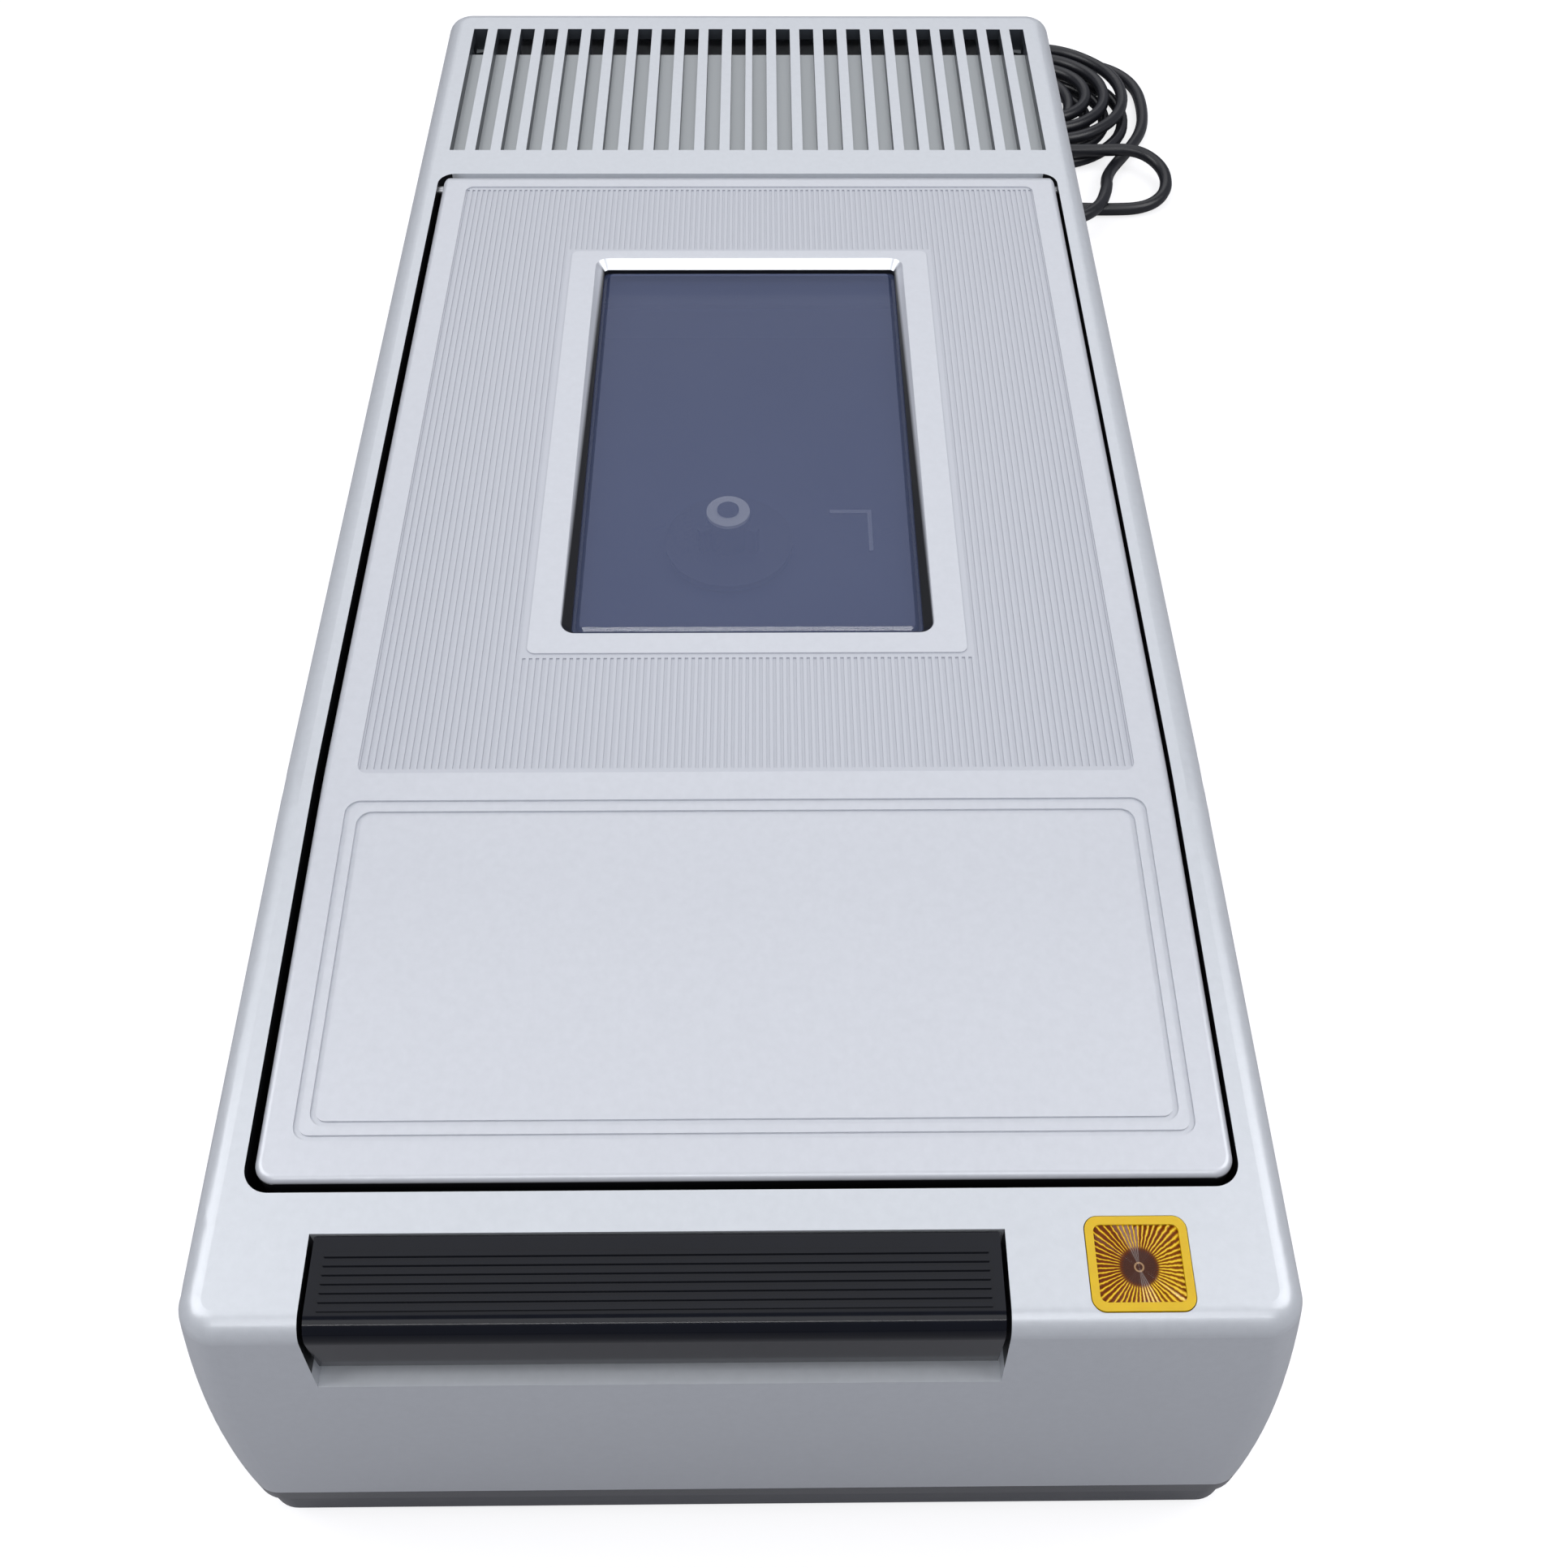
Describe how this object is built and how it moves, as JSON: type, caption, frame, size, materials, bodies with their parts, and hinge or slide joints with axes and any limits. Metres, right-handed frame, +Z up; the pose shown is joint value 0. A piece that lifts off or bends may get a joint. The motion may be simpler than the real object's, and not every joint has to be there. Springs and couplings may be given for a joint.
{
  "type": "video cassette rewinder",
  "caption": "Slim mains powered box that winds a video cassette back: hinged glazed lid, eject bar, lit lens, geared reel hubs and a hanked cord with its plug.",
  "frame": {"origin": "middle of the case's footprint, on the surface its feet stand on", "axes": "+Z up, +X to the right, +Y to the rear, so the eject bar is at the -Y end"},
  "size_m": [0.1817, 0.3961, 0.0714],
  "materials": {
    "silver_plastic": "fine satin silver paint look",
    "base_plastic": "gloss dark grey",
    "black_gloss": "gloss black",
    "black_plastic": "matte black",
    "grey_plastic": "matte grey",
    "white_plastic": "satin natural white",
    "smoked_pane": "clear smoked",
    "amber_plastic": "clear amber, moulded flutes",
    "lamp_glass": "clear",
    "rubber": "matte",
    "steel": "bright",
    "zinc_steel": "zinc plated",
    "core_steel": "lacquered laminations",
    "copper": "wound and taped",
    "board": "plain board",
    "brass": "bright",
    "cord_vinyl": "smooth satin"
  },
  "bodies": {
    "case": {"upper_housing": "silver_plastic", "lower_housing": "base_plastic", "rubber_feet": "rubber", "housing_screws": "zinc_steel", "deck_screws": "zinc_steel", "bracket_screws": "zinc_steel", "deck_tray": "grey_plastic", "hinge_pins": "steel", "latch_pin": "steel", "latch_spring": "steel", "amber_lens": "amber_plastic", "indicator_lamp": "lamp_glass", "reduction_axle": "steel", "drive_belt": "rubber", "motor": "steel", "motor_bracket": "steel", "transformer_core": "core_steel", "transformer_coil": "copper", "transformer_clamp": "steel", "circuit_board": "board", "capacitor": "black_plastic", "fuse": "lamp_glass", "rectifier_diodes": "black_plastic", "leaf_switch": "black_plastic", "strain_relief": "cord_vinyl", "cord_lead": "cord_vinyl", "cord_hank": "cord_vinyl", "cord_tail": "cord_vinyl", "cord_tie": "cord_vinyl", "wall_plug": "cord_vinyl", "plug_blades": "brass"},
    "lid": {"lid_panel": "silver_plastic", "window_pane": "smoked_pane", "cassette_holder": "black_plastic", "holder_screws": "zinc_steel", "hold_down_springs": "steel"},
    "eject_bar": {"eject_bar": "black_gloss"},
    "latch": {"latch_lever": "black_plastic"},
    "drive_hub": {"drive_spindle": "white_plastic", "drive_shaft": "steel", "drive_gear": "white_plastic"},
    "idle_hub": {"idle_spindle": "white_plastic", "idle_shaft": "steel"},
    "reduction": {"reduction_pulley": "white_plastic"},
    "motor_rotor": {"motor_pulley": "brass", "motor_shaft": "steel"},
    "start_lever": {"start_lever": "white_plastic"}
  },
  "joints": [
    {"name": "lid_hinge", "type": "hinge", "parent": "case", "child": "lid", "pos_m": [0, 0.0776, 0.06895], "axis": [-1, 0, 0], "range_deg": [0, 38]},
    {"name": "eject_press", "type": "slide", "parent": "case", "child": "eject_bar", "axis": [0, 0, -1], "range_m": [0, 0.0028], "stiffness_N_per_m": 300, "springref_m": -0.004},
    {"name": "latch_pivot", "type": "hinge", "parent": "case", "child": "latch", "pos_m": [-0.01, -0.1285, 0.0465], "axis": [1, 0, 0], "range_deg": [0, 13.5], "deforming": ["latch_spring"]},
    {"name": "drive_spin", "type": "hinge", "parent": "case", "child": "drive_hub", "pos_m": [-0.0038, 0.01555, 0.03], "axis": [0, 0, 1], "continuous": true},
    {"name": "reduction_spin", "type": "hinge", "parent": "case", "child": "reduction", "pos_m": [0.01883, 0.03818, 0.02], "axis": [0, 0, 1], "continuous": true},
    {"name": "motor_spin", "type": "hinge", "parent": "case", "child": "motor_rotor", "pos_m": [0.03, 0.102, 0.02], "axis": [0, 0, 1], "continuous": true},
    {"name": "idle_spin", "type": "hinge", "parent": "case", "child": "idle_hub", "pos_m": [-0.0038, -0.07595, 0.03], "axis": [0, 0, 1], "continuous": true},
    {"name": "start_dip", "type": "hinge", "parent": "case", "child": "start_lever", "pos_m": [0.03, -0.096, 0.027], "axis": [-1, 0, 0], "range_deg": [0, 8], "stiffness_Nm_per_rad": 0.02, "springref_deg": -17.19}
  ],
  "couplings": [
    {"joint": "latch_pivot", "follows": "eject_press", "rad_per_m": 80.4},
    {"joint": "reduction_spin", "follows": "drive_spin", "ratio": -3},
    {"joint": "motor_spin", "follows": "drive_spin", "ratio": -15}
  ]
}
